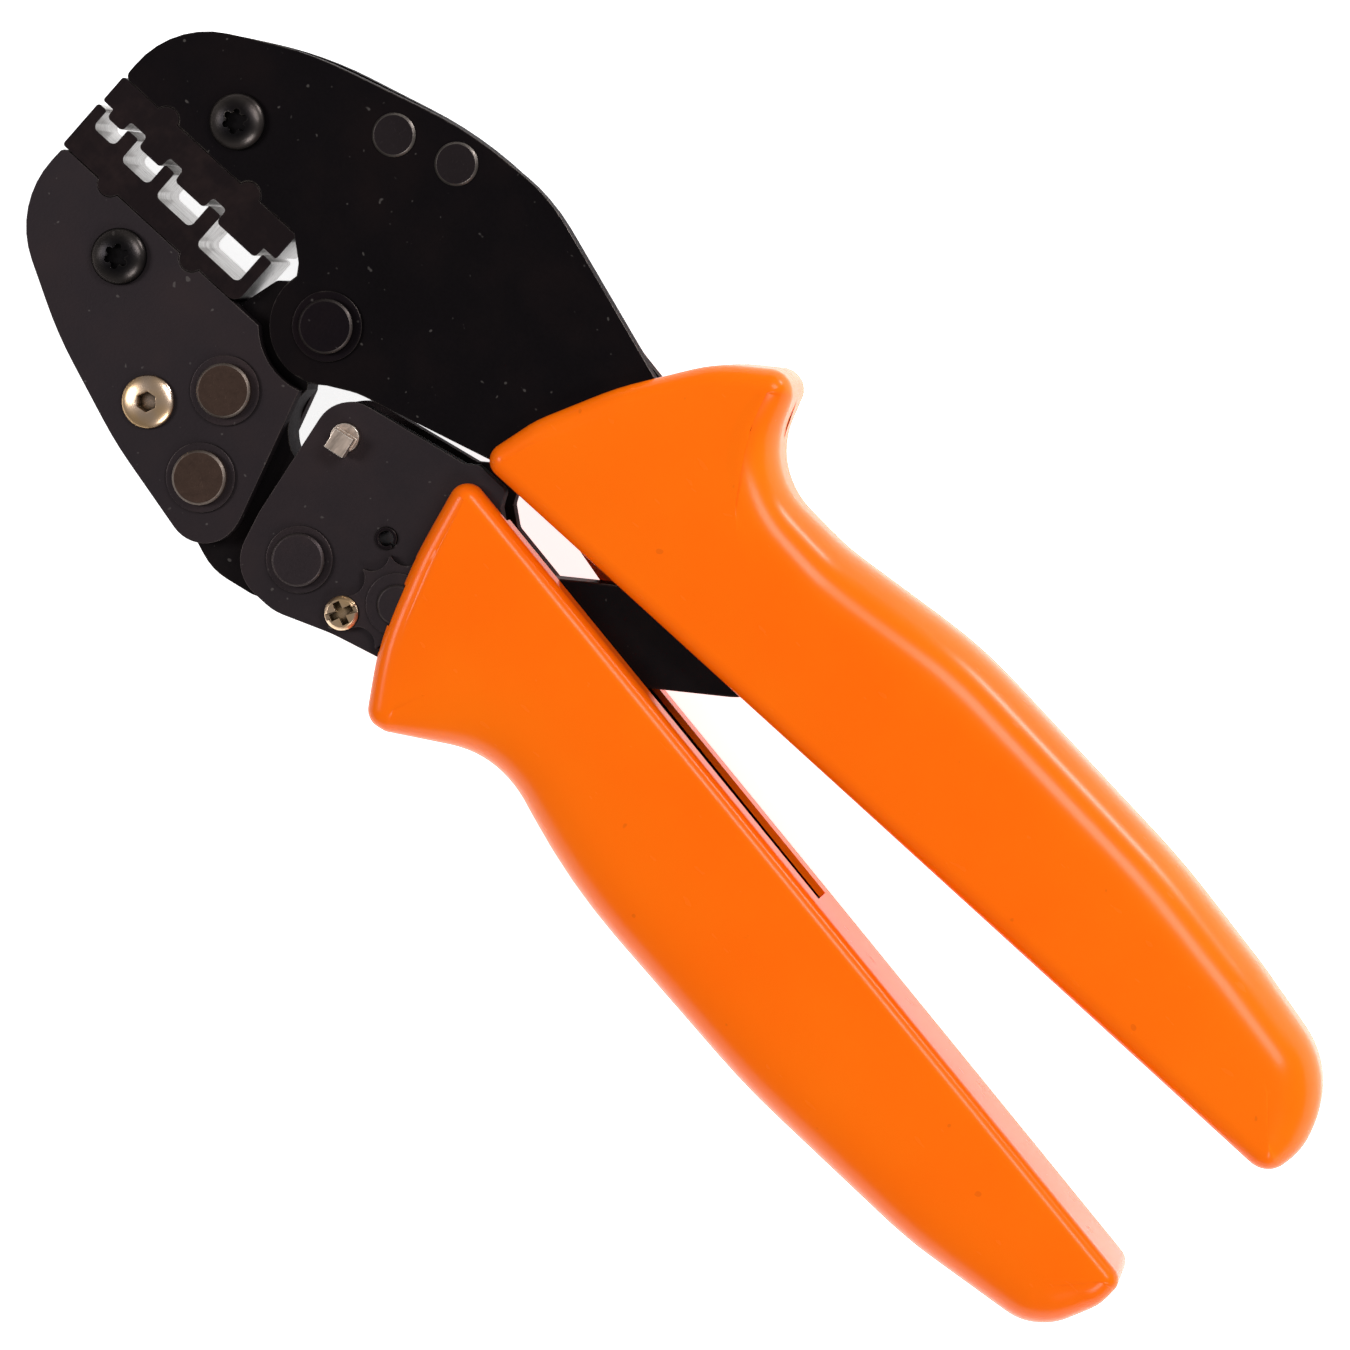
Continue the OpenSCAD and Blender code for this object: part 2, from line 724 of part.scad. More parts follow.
// Outline corners are [x, y, rounding radius, radius of the edge round the face]
fixed_grip_path = [
    [-180.6, -1.6, 4, 3.4], [-182, -7.5, 9, 6.5], [-178.5, -18.4, 14, 7.5], [-160, -22.6, 60, 8.5],
    [-142, -25.7, 120, 8.5], [-100, -29, 70, 9], [-76, -26.4, 30, 9], [-60.4, -27, 12, 7], [-55.2, -41.4, 3.4, 3.2],
    [-45.3, -34.1, 22, 3.2], [-37, -21.8, 40, 2.8], [-31.5, -10.5, 14, 2.6], [-29, -0.9, 2.6, 2.4]
];
moving_grip_path = [
    [-28.6, 1.7, 2.6, 2.4], [-31.6, 15.5, 60, 2.6], [-35.8, 28.2, 40, 2.8], [-42, 38, 3, 2.8],
    [-45.4, 37.5, 3.4, 3.2], [-59.5, 29.4, 16, 8], [-79, 36.4, 90, 9], [-118, 40.7, 120, 9],
    [-150, 40.9, 60, 8.5], [-172, 37.9, 9, 7], [-175.9, 28.4, 9, 4], [-175.9, 23, 2.4, 2.2]
];

// Points [x, y, edge radius] round a grip, with long straight stretches divided
function grip_points(path) =
    let (n = len(path))
    [for (i = [0 : n - 1])
        let (
            a = path[(i + n - 1) % n],
            b = path[i],
            c = path[(i + 1) % n],
            d = path[(i + 2) % n],
            here = corner([a.x, a.y], [b.x, b.y], [c.x, c.y], b.z, grip_step, grip_chord),
            next = corner([b.x, b.y], [c.x, c.y], [d.x, d.y], c.z, grip_step, grip_chord),
            from = here[len(here) - 1],
            gap = norm(next[0] - from),
            parts = ceil(gap / grip_run)
        )
        each concat(
            [for (p = here) [p.x, p.y, b[3]]],
            parts < 2 ? [] : [for (k = [1 : parts - 1])
                let (t = k / parts, p = from + (next[0] - from) * t)
                [p.x, p.y, b[3] + (c[3] - b[3]) * t]]
        )];

// Half of a grip from the seam at z = 0 to the face, its outer edge rounded
module grip_half(path, side) {
    all_points = grip_points(path);
    n = len(all_points);
    xs = [for (p = all_points) p.x];
    first = search(min(xs), xs)[0];
    rim = [for (i = [0 : n - 1]) all_points[(first + i) % n]];
    last = search(max(xs), [for (p = rim) p.x])[0];
    rings = 4;
    inward = [for (i = [0 : n - 1])
        let (a = rim[(i + n - 1) % n], c = rim[(i + 1) % n])
        turn(unit([c.x - a.x, c.y - a.y]))];
    points = concat(
        [for (p = rim) [p.x, p.y, 0]],
        [for (k = [0 : rings])
            let (a = 90 * k / rings)
            each [for (i = [0 : n - 1])
                let (p = rim[i], r = p.z, q = inward[i] * r * (1 - cos(a)))
                [p.x + q.x, p.y + q.y, grip_half_t - r + r * sin(a)]]]
    );
    outer = [for (i = [0 : last]) i];
    inner = [for (i = [0 : n - last]) (n - i) % n];
    floor_faces = kept(filled(points, inner, outer));
    top = (rings + 1) * n;
    faces = concat(
        [for (f = floor_faces) [f[2], f[1], f[0]]],
        skin(0, rings + 1, n),
        [for (f = floor_faces) [f[0] + top, f[1] + top, f[2] + top]]
    );
    mirror([0, 0, side > 0 ? 0 : 1]) polyhedron(points = points, faces = faces, convexity = 8);
}

// Pocket for a plate, from the seam to just above the plate's face; its outline goes just round the plate
module pocket(outline, side) {
    z1 = face_z + pocket_clear;
    translate([0, 0, side > 0 ? -cut : -z1]) linear_extrude(height = z1 + cut) polygon(outline);
}

fixed_pocket = [
    [-20, -34], [-20, 1.6], [-31.6, -1.9], [-44, -2.4], [-167.3, -3.4], [-167.3, -12.6],
    [-150, -17.4], [-98, -21], [-64, -21], [-44, -26.2], [-35, -29]
];
moving_pocket = [
    [-20, -0.8], [-20, 37.4], [-46, 28.2], [-62, 26.4], [-100, 31.3], [-138, 33.6], [-161.4, 32],
    [-158.3, 21.7], [-38.7, 3.9], [-36.5, 1.6], [-35.2, -0.8]
];

slot_z = core_z + 0.3;

// Relief for the moving handle's stop, which passes under the fixed grip's nose
stop_relief = [[-24, 3], [-24, -1.6], [-37, -3.2], [-38.5, 3]];
// Way for the toggle link through the fixed grip's inner wall
fixed_slot = [[-50, 3], [-51.5, -4], [-84, -4], [-86, 3]];
// Way for the toggle link through the moving grip's inner wall
moving_slot = rounded([[-26, 0, 0], [-26, 8, 0], [-107, 18, 2], [-107.5, 11, 0]]);
// Part of the back half cut away, so that the handle plate's edge shows
back_cutaway = [[-24, 0], [-24, 5], [-37, 5.4], [-60, 9.2], [-61.5, 3]];

module fixed_grip_front() {
    color("#ff7a10") difference() {
        grip_half(fixed_grip_path, 1);
        pocket(fixed_pocket, 1);
        slab(stop_relief, -cut, face_z + 0.3);
        slab(fixed_slot, -cut, slot_z);
    }
}

// The back half has a low lip on its inner side that guards the link
module fixed_grip_back() {
    lip = [[-42, -0.6], [-57, 2.8], [-70, 2.8], [-77, -0.6], [-77, -2.4], [-42, -2.4]];
    color("#ff7a10") difference() {
        union() {
            grip_half(fixed_grip_path, -1);
            slab(lip, -grip_half_t + 1.6, -slot_z);
        }
        pocket(fixed_pocket, -1);
        slab(stop_relief, -face_z - 0.3, cut);
        slab(fixed_slot, -slot_z, cut);
    }
}

module moving_grip_front() {
    color("#ff7a10") difference() {
        grip_half(moving_grip_path, 1);
        pocket(moving_pocket, 1);
        slab(moving_slot, -cut, slot_z);
        disc(adjuster_at, star_r + 0.25, face_z - cut, star_top + washer_t);
        disc(adjuster_at, 3.2, face_z, adjuster_top + 0.1);
    }
}

module moving_grip_back() {
    color("#ff7a10") difference() {
        grip_half(moving_grip_path, -1);
        pocket(moving_pocket, -1);
        slab(moving_slot, -slot_z, cut);
        slab(back_cutaway, -grip_half_t - cut, -slot_z + cut / 4);
        disc(adjuster_at, 5, -face_z - 1.7, -face_z + cut);
    }
}

place() frame_plate_front();
place() frame_plate_back();
place() frame_spacer();
place() frame_rivets();
place() main_pivot_pin();
place() main_pivot_washers();
place() die_upper();
place() die_screw_upper();
place() return_spring();
place() link_pin();
place() frame_tang_spacer();
place() frame_tang_rivets();
place() fixed_grip_front();
place() fixed_grip_back();
place() jaw_lever();
place() jaw_plate_front();
place() jaw_plate_back();
place() jaw_rivets();
place() jaw_rivet_washers();
place() jaw_clamp_screw();
place() jaw_clamp_nut();
place() die_lower();
place() die_screw_lower();
place() handle_plate_front();
place() handle_plate_back();
place() handle_pivot_pin();
place() handle_pivot_washers();
place() adjuster_pin();
place() adjuster_wheel();
place() adjuster_washers();
place() adjuster_lock_screw();
place() roll_pin();
place() pawl_spring();
place() handle_spacer();
place() handle_rivets();
place() moving_grip_front();
place() moving_grip_back();
place() pawl();
place() pawl_pin();
place() toggle_link();
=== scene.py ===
import json
import math

import bpy
import numpy as np
from mathutils import Matrix, Vector


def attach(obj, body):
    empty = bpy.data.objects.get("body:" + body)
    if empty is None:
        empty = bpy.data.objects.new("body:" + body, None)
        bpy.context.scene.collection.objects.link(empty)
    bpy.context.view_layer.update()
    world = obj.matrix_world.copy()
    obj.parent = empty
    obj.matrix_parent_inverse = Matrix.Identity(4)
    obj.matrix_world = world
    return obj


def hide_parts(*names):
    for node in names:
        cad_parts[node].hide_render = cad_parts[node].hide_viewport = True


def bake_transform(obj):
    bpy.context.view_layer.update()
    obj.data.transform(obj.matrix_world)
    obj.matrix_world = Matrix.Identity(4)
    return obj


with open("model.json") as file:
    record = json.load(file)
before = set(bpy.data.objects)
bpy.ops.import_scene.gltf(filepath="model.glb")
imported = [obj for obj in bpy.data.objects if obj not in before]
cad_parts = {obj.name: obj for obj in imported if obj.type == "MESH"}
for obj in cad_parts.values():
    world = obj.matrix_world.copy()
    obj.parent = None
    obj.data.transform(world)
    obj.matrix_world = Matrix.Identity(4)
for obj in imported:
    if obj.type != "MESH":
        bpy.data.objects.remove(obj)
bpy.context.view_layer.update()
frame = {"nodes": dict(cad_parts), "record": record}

MM = 0.001

# The outlines below are in millimetres about the main pivot's axis, midway between the plates.
joint_of = {j["name"]: j for j in frame["record"]["behaviour"]["joints"]}
PIVOT = np.array(joint_of["jaw_pivot"]["pos_m"])


def row(p):
    """A point in millimetres about the main pivot, as a point in the row frame in metres."""
    return np.asarray(p, float) * MM + PIVOT


# ---------------------------------------------------------------- camera, floor and light

scene = bpy.context.scene
scene.view_settings.view_transform = "Standard"

# The picture's right-hand way and the way back to the lens, in the row frame, and the lens's place.
VIEW_RIGHT = (-0.7338, -0.6653, -0.1374)
VIEW_BACK = (-0.0592, -0.1388, 0.9885)
LENS_AT = (-120.84, -114.68, 845.0)
FOCAL_MM = 158.3
SENSOR_MM = 36

back = Vector(VIEW_BACK).normalized()
up = back.cross(Vector(VIEW_RIGHT)).normalized()
right = up.cross(back).normalized()
camera_data = bpy.data.cameras.new("camera")
camera_data.sensor_width = SENSOR_MM
camera_data.lens = FOCAL_MM
camera_data.clip_start = 0.05
camera_data.clip_end = 20
camera = bpy.data.objects.new("camera", camera_data)
scene.collection.objects.link(camera)
turn = Matrix((right, up, back)).transposed().to_4x4()
camera.matrix_world = Matrix.Translation(Vector(row(LENS_AT))) @ turn
scene.camera = camera

world = bpy.data.worlds.new("studio")
world.use_nodes = True
scene.world = world
background = world.node_tree.nodes["Background"]
background.inputs["Color"].default_value = (1.0, 0.985, 0.97, 1)
background.inputs["Strength"].default_value = 0.2


def softbox(name, at, size, power, aim=(-0.02, 0.0, 0.01)):
    """A rectangular area light at a point, turned towards aim; metres and watts."""
    data = bpy.data.lights.new(name, "AREA")
    data.shape = "RECTANGLE"
    data.size, data.size_y = size
    data.energy = power
    lamp = bpy.data.objects.new(name, data)
    lamp.location = at
    lamp.rotation_euler = (Vector(aim) - Vector(at)).to_track_quat("-Z", "Y").to_euler()
    scene.collection.objects.link(lamp)


# ---------------------------------------------------------------- materials


class Shader:
    """A small helper that lays out nodes for one material."""

    def __init__(self, name):
        self.mat = bpy.data.materials.new(name)
        self.mat.use_nodes = True
        self.tree = self.mat.node_tree
        self.bsdf = self.tree.nodes["Principled BSDF"]
        self.coord = self.tree.nodes.new("ShaderNodeTexCoord").outputs["Object"]

    def node(self, kind, **inputs):
        n = self.tree.nodes.new("ShaderNode" + kind)
        for key, value in inputs.items():
            self.put(n.inputs[key.replace("_", " ")], value)
        return n

    def put(self, socket, value):
        if isinstance(value, bpy.types.NodeSocket):
            self.tree.links.new(value, socket)
        else:
            socket.default_value = value

    def set(self, **inputs):
        for key, value in inputs.items():
            self.put(self.bsdf.inputs[key.replace("_", " ")], value)

    def noise(self, scale, detail=3.0, rough=0.5, stretch=None):
        where = self.coord
        if stretch:
            where = self.node("Mapping", Vector=self.coord, Scale=stretch).outputs[0]
        texture = self.node("TexNoise", Vector=where, Scale=scale, Detail=detail, Roughness=rough)
        return texture.outputs[0]

    def math(self, op, a, b=0.0):
        n = self.tree.nodes.new("ShaderNodeMath")
        n.operation = op
        self.put(n.inputs[0], a)
        self.put(n.inputs[1], b)
        return n.outputs[0]

    def ramp(self, value, low, high, to_low=0.0, to_high=1.0):
        n = self.node("MapRange")
        n.clamp = True
        for i, v in enumerate((value, low, high, to_low, to_high)):
            self.put(n.inputs[i], v)
        return n.outputs[0]

    def mix(self, factor, a, b):
        n = self.tree.nodes.new("ShaderNodeMix")
        n.data_type = "RGBA"
        self.put(n.inputs[0], factor)
        self.put(n.inputs[6], a)
        self.put(n.inputs[7], b)
        return n.outputs[2]

    def times(self, a, b):
        return self.math("MULTIPLY", a, b)

    def bump(self, height, strength, distance):
        return self.node("Bump", Height=height, Strength=strength, Distance=distance).outputs[0]

    def level(self):
        """1 on level faces, 0 on upright walls."""
        normal = self.tree.nodes.new("ShaderNodeSeparateXYZ")
        self.put(normal.inputs[0], self.node("NewGeometry").outputs["Normal"])
        return self.math("ABSOLUTE", normal.outputs[2])

    def edges(self, radius, low=0.02, high=0.25):
        """1 on outer and inner edges within radius, 0 elsewhere."""
        bevel = self.node("Bevel", Radius=radius)
        bevel.samples = 4
        dot = self.tree.nodes.new("ShaderNodeVectorMath")
        dot.operation = "DOT_PRODUCT"
        self.put(dot.inputs[0], bevel.outputs[0])
        self.put(dot.inputs[1], self.node("NewGeometry").outputs["Normal"])
        return self.ramp(self.math("SUBTRACT", 1.0, dot.outputs["Value"]), low, high)


def tone(base, factor=1.0):
    """A base colour, made lighter or darker, with its alpha."""
    return (*[c * factor for c in base], 1)


def rim(s, low=0.2, high=0.97):
    """1 on faces that lean between upright and level: the chamfers and rounds along an edge, where
    highlights are painted.
    """
    lean = s.level()
    return s.times(s.ramp(lean, low, low + 0.25), s.ramp(lean, high, high - 0.12))


def black_oxide(name, base, rough, grain=0.25, wear_and_highlight=0.6, brown=0.5):
    """Satin blackened steel: fine grain, faint brown patches, pale dust specks, thin worn edges and a
    painted highlight on chamfers and rounds.
    """
    s = Shader(name)
    patches = s.noise(60.0, 4.0, 0.6)
    fine = s.noise(2600.0, 2.0, 0.6)
    brown_tone = (base[0] * 1.9, base[1] * 1.45, base[2] * 1.2, 1)
    colour = s.mix(s.ramp(patches, 0.45, 0.75, 0.0, brown), tone(base), brown_tone)
    specks = s.ramp(s.noise(900.0, 1.0, 0.3), 0.755, 0.8)
    colour = s.mix(s.times(specks, 0.35), colour, (0.2, 0.18, 0.17, 1))
    wear_and_highlight_patches = s.ramp(s.noise(170.0, 4.0, 0.65), 0.5, 0.68)
    worn = s.times(s.times(s.edges(0.0003), wear_and_highlight_patches), wear_and_highlight)
    colour = s.mix(worn, colour, (0.3, 0.26, 0.22, 1))
    # A painted highlight: chamfers and rounds made lighter, in patches.
    painted_rim_highlight = s.times(rim(s), s.ramp(s.noise(90.0, 3.0, 0.6), 0.35, 0.65, 0.25 * wear_and_highlight, wear_and_highlight))
    colour = s.mix(painted_rim_highlight, colour, (0.2, 0.17, 0.155, 1))
    uneven = s.math("ADD", patches, s.times(fine, 0.6))
    roughness = s.ramp(uneven, 0.45, 1.15, rough - 0.07, rough + 0.1)
    s.set(Base_Color=colour, Metallic=0.85, Roughness=roughness)
    s.set(Normal=s.bump(fine, grain, 0.00004))
    s.set(Specular_IOR_Level=0.25, Specular_Tint=(0.35, 0.33, 0.34, 1))
    return s.mat


def turned_steel(name, base, rough, wear_and_highlight=0.4):
    """Brownish turned steel, as on rivet heads: finely mottled, with tiny pits and a painted highlight on
    the chamfer.
    """
    s = Shader(name)
    mottle = s.noise(900.0, 5.0, 0.75)
    cloud = s.noise(140.0, 3.0, 0.6)
    pits = s.ramp(s.noise(2200.0, 2.0, 0.6), 0.3, 0.42)
    colour = s.mix(s.ramp(mottle, 0.3, 0.75), tone(base, 0.75), tone(base, 1.3))
    colour = s.mix(s.ramp(cloud, 0.4, 0.75, 0.0, 0.35), colour, tone(base, 0.55))
    # A painted highlight: the chamfer made lighter, in patches.
    wear_and_highlight_patches = s.ramp(s.noise(260.0, 3.0, 0.6), 0.3, 0.6, 0.5 * wear_and_highlight, wear_and_highlight)
    colour = s.mix(s.times(rim(s, 0.15, 0.98), wear_and_highlight_patches), colour, (0.5, 0.44, 0.39, 1))
    roughness = s.ramp(mottle, 0.3, 0.75, rough + 0.1, rough - 0.05)
    s.set(Base_Color=colour, Metallic=0.9, Roughness=roughness)
    s.set(Normal=s.bump(pits, 0.25, 0.00004))
    return s.mat


def die_steel(name):
    """Blackened die steel; the nests and the parting faces are bare, bright and scratched."""
    s = Shader(name)
    place = s.tree.nodes.new("ShaderNodeSeparateXYZ")
    s.put(place.inputs[0], s.coord)
    side_wall = s.ramp(s.level(), 0.75, 0.45)
    from_parting = s.math("ABSOLUTE", s.math("SUBTRACT", place.outputs[1], float(PIVOT[1])))
    inside = s.ramp(from_parting, 0.0058, 0.0053)
    scratches = s.noise(900.0, 3.0, 0.75, stretch=(0.25, 0.25, 4.0))
    smears = s.noise(260.0, 4.0, 0.6)
    bare = s.times(side_wall, inside)
    bright = s.mix(s.ramp(scratches, 0.35, 0.7), (0.34, 0.32, 0.31, 1), (0.86, 0.85, 0.84, 1))
    bright = s.mix(s.ramp(smears, 0.62, 0.75, 0.0, 0.7), bright, (0.1, 0.09, 0.09, 1))
    patchy = s.ramp(smears, 0.45, 0.75, 0.0, 0.6)
    dark = s.mix(patchy, (0.016, 0.0105, 0.0115, 1), (0.036, 0.022, 0.021, 1))
    worn = s.times(s.edges(0.00025), s.ramp(s.noise(200.0, 3.0, 0.6), 0.45, 0.65, 0.05, 0.5))
    dark = s.mix(worn, dark, (0.32, 0.29, 0.27, 1))
    marks = s.noise(1500.0, 2.0, 0.6, stretch=(1.0, 0.2, 1.0))
    s.set(Base_Color=s.mix(bare, dark, bright), Metallic=0.9)
    s.set(Roughness=s.ramp(bare, 0.0, 1.0, 0.42, 0.3))
    s.set(Normal=s.bump(s.math("ADD", marks, scratches), 0.25, 0.00005))
    return s.mat


def plating(name):
    """Smooth pale champagne plating, golden in soft patches, with painted shade darkening its recess."""
    s = Shader(name)
    bloom = s.noise(160.0, 2.0, 0.5)
    colour = s.mix(s.ramp(bloom, 0.4, 0.62), (0.8, 0.62, 0.5, 1), (0.82, 0.55, 0.3, 1))
    # Painted shade: the recess is darkened by an ambient-occlusion mask.
    shade = s.node("AmbientOcclusion", Distance=0.0012)
    shade.samples = 6
    open_ = s.ramp(shade.outputs["AO"], 0.55, 0.92)
    tarnish = s.ramp(s.noise(900.0, 3.0, 0.7), 0.62, 0.75, 0.0, 0.3)
    colour = s.mix(tarnish, colour, (0.4, 0.27, 0.13, 1))
    colour = s.mix(open_, (0.05, 0.032, 0.015, 1), colour)
    s.set(Base_Color=colour, Metallic=1.0, Roughness=s.ramp(bloom, 0.3, 0.7, 0.24, 0.32))
    s.set(Normal=s.bump(s.noise(1400.0, 2.0, 0.6), 0.12, 0.00003))
    return s.mat


def bare_steel(name, base=(0.62, 0.5, 0.42), rough=0.4):
    """Ground steel with short scratches and warm stains; a near-white highlight is painted on chamfers
    and rounds.
    """
    s = Shader(name)
    scratch = s.noise(1200.0, 3.0, 0.7, stretch=(1.0, 0.2, 1.0))
    stain = s.noise(300.0, 4.0, 0.6)
    colour = s.mix(s.ramp(stain, 0.5, 0.75), tone(base), tone(base, 0.45))
    colour = s.mix(s.edges(0.00025, 0.02, 0.3), colour, (0.62, 0.58, 0.54, 1))
    # A painted highlight: chamfers and rounds made near white.
    colour = s.mix(rim(s), colour, (0.95, 0.88, 0.8, 1))
    roughness = s.ramp(scratch, 0.3, 0.7, rough - 0.1, rough + 0.12)
    s.set(Base_Color=colour, Metallic=1.0, Roughness=roughness)
    s.set(Normal=s.bump(scratch, 0.3, 0.00005))
    return s.mat


def moulded(name):
    """Glossy orange plastic: faint flow unevenness, small specks and fine handling scratches."""
    s = Shader(name)
    flow = s.noise(26.0, 3.0, 0.5)
    colour = s.mix(s.ramp(flow, 0.35, 0.7), (1.0, 0.142, 0.001, 1), (1.0, 0.166, 0.0015, 1))
    specks = s.ramp(s.noise(430.0, 1.0, 0.3), 0.775, 0.8)
    colour = s.mix(s.times(specks, 0.35), colour, (0.62, 0.09, 0.004, 1))
    hair = s.ramp(s.noise(700.0, 2.0, 0.4, stretch=(0.35, 1.0, 1.0)), 0.7, 0.78)
    peel = s.noise(190.0, 2.0, 0.5)
    roughness = s.math("ADD", s.ramp(flow, 0.3, 0.7, 0.2, 0.26), s.times(hair, 0.12))
    s.set(Base_Color=colour, Roughness=roughness)
    s.set(Normal=s.bump(peel, 0.12, 0.00012), Specular_IOR_Level=0.18)
    s.set(Subsurface_Weight=0.06, Subsurface_Scale=0.004)
    s.bsdf.inputs["Subsurface Radius"].default_value = (1.0, 0.3, 0.05)
    return s.mat


MATERIALS = {
    "black_plate": black_oxide("black_plate", (0.0085, 0.0068, 0.0078), 0.44, wear_and_highlight=0.8),
    "satin_plate": black_oxide("satin_plate", (0.034, 0.027, 0.03), 0.5, grain=0.4, wear_and_highlight=0.5, brown=0.25),
    "black_core": black_oxide("black_core", (0.011, 0.0095, 0.0105), 0.4, grain=0.4, wear_and_highlight=0.6),
    "black_pin": black_oxide("black_pin", (0.0115, 0.0085, 0.0105), 0.45, grain=0.5, wear_and_highlight=0.4),
    "satin_pin": black_oxide("satin_pin", (0.04, 0.031, 0.034), 0.45, grain=0.5, wear_and_highlight=0.35),
    "rivet_steel": turned_steel("rivet_steel", (0.028, 0.021, 0.023), 0.36, wear_and_highlight=0.3),
    "black_screw": black_oxide("black_screw", (0.014, 0.0125, 0.0135), 0.32, grain=0.3, wear_and_highlight=0.4),
    "brown_pin": turned_steel("brown_pin", (0.068, 0.041, 0.031), 0.46, wear_and_highlight=0.3),
    "die_steel": die_steel("die_steel"),
    "yellow_zinc": plating("yellow_zinc"),
    "bare_steel": bare_steel("bare_steel"),
    "spring_steel": bare_steel("spring_steel", (0.4, 0.38, 0.36), 0.3),
    "orange_grip": moulded("orange_grip"),
}
SLOT_OF = {part["node"]: part["material_slot"] for part in frame["record"]["subparts"]}
# Nodes whose finish differs from the others in their slot.
SATIN_PLATES = ("jaw_plate_front", "jaw_plate_back", "handle_plate_front", "handle_plate_back")
SATIN_PINS = (
    "jaw_rivet_washers", "handle_pivot_pin", "handle_pivot_washers",
    "adjuster_wheel", "adjuster_washers", "adjuster_pin",
)
LOOK_OF = {"frame_rivets": "rivet_steel"}
LOOK_OF.update(dict.fromkeys(SATIN_PLATES, "satin_plate"))
LOOK_OF.update(dict.fromkeys(SATIN_PINS, "satin_pin"))


def dress(obj, look):
    obj.data.materials.clear()
    obj.data.materials.append(MATERIALS[look])


# ---------------------------------------------------------------- CAD nodes

# Rounds along the edges, in millimetres; what isn't listed gets SMALL_BEVEL.
SMALL_BEVEL = 0.12
BEVEL_MM = {
    "frame_plate_front": 0.3, "frame_plate_back": 0.3, "jaw_plate_front": 0.3, "jaw_plate_back": 0.3,
    "handle_plate_front": 0.3, "handle_plate_back": 0.3, "jaw_lever": 0.25, "toggle_link": 0.3,
    "die_upper": 0.16, "die_lower": 0.16, "adjuster_wheel": 0.15, "pawl": 0.15, "pawl_pin": 0.18,
}


def refine(obj, width):
    """Welds a CAD node's mesh, merges its flat faces and rounds its edges to width, in millimetres."""
    weld = obj.modifiers.new("weld", "WELD")
    weld.merge_threshold = 0.000004
    flat = obj.modifiers.new("flat", "DECIMATE")
    flat.decimate_type = "DISSOLVE"
    flat.angle_limit = math.radians(0.6)
    bevel = obj.modifiers.new("bevel", "BEVEL")
    bevel.width = width * MM
    bevel.segments = 3
    bevel.limit_method = "ANGLE"
    bevel.angle_limit = math.radians(32)
    weight = obj.modifiers.new("weight", "WEIGHTED_NORMAL")
    weight.keep_sharp = True
    weight.weight = 80


for name, obj in frame["nodes"].items():
    dress(obj, LOOK_OF.get(name, SLOT_OF[name]))
    refine(obj, BEVEL_MM.get(name, SMALL_BEVEL))

# ---------------------------------------------------------------- grips


def corner(a, b, c, r, step):
    """Points on the arc of radius r that rounds corner b."""
    a, b, c = (np.array(p[:2], float) for p in (a, b, c))
    u = (a - b) / np.linalg.norm(a - b)
    w = (c - b) / np.linalg.norm(c - b)
    half = math.acos(max(-1.0, min(1.0, float(u @ w)))) / 2
    middle = (u + w) / np.linalg.norm(u + w)
    centre = b + middle * r / math.sin(half)
    p = b + u * r / math.tan(half) - centre
    q = b + w * r / math.tan(half) - centre
    start = math.atan2(p[1], p[0])
    sweep = (math.atan2(q[1], q[0]) - start + math.pi) % (2 * math.pi) - math.pi
    n = max(3, math.ceil(abs(sweep) / step))
    angles = [start + sweep * i / n for i in range(n + 1)]
    return [centre + r * np.array([math.cos(angle), math.sin(angle)]) for angle in angles]


def outline(path, step=math.radians(4), spacing=1.5):
    """A closed outline from corners (x, y, round, edge), as rows of x, y and edge radius."""
    n = len(path)
    out = []
    for i in range(n):
        a, b, c, d = path[i - 1], path[i], path[(i + 1) % n], path[(i + 2) % n]
        here = corner(a, b, c, b[2], step)
        out += [(*p, b[3]) for p in here]
        gap_end = corner(b, c, d, c[2], step)[0]
        parts = max(1, math.ceil(np.linalg.norm(gap_end - here[-1]) / spacing))
        for k in range(1, parts):
            t = k / parts
            ease = t * t * (3 - 2 * t)
            out.append((*(here[-1] + (gap_end - here[-1]) * t), b[3] + (c[3] - b[3]) * ease))
    return np.array(out)


def resample(chain, count, turn_weight=7.0):
    """The chain at count points, closer together where it turns."""
    d = np.diff(chain[:, :2], axis=0)
    length = np.linalg.norm(d, axis=1)
    heading = np.unwrap(np.arctan2(d[:, 1], d[:, 0]))
    turn = np.abs(np.diff(heading))
    weight = length + turn_weight * (np.concatenate([[0], turn]) + np.concatenate([turn, [0]]))
    s = np.concatenate([[0], np.cumsum(weight)])
    t = np.linspace(0, s[-1], count)
    return np.stack([np.interp(t, s, chain[:, k]) for k in range(3)], 1)


def smooth_closed(values, width):
    """Running mean round a closed loop, done twice."""
    out = values.astype(float)
    for _ in range(2):
        out = sum(np.roll(out, k, 0) for k in range(-width, width + 1)) / (2 * width + 1)
    return out


def solid(name, verts_mm, faces):
    """An object from points in millimetres about the main pivot."""
    mesh = bpy.data.meshes.new(name)
    mesh.from_pydata([tuple(row(v)) for v in verts_mm], [], faces)
    mesh.update()
    obj = bpy.data.objects.new(name, mesh)
    scene.collection.objects.link(obj)
    return obj


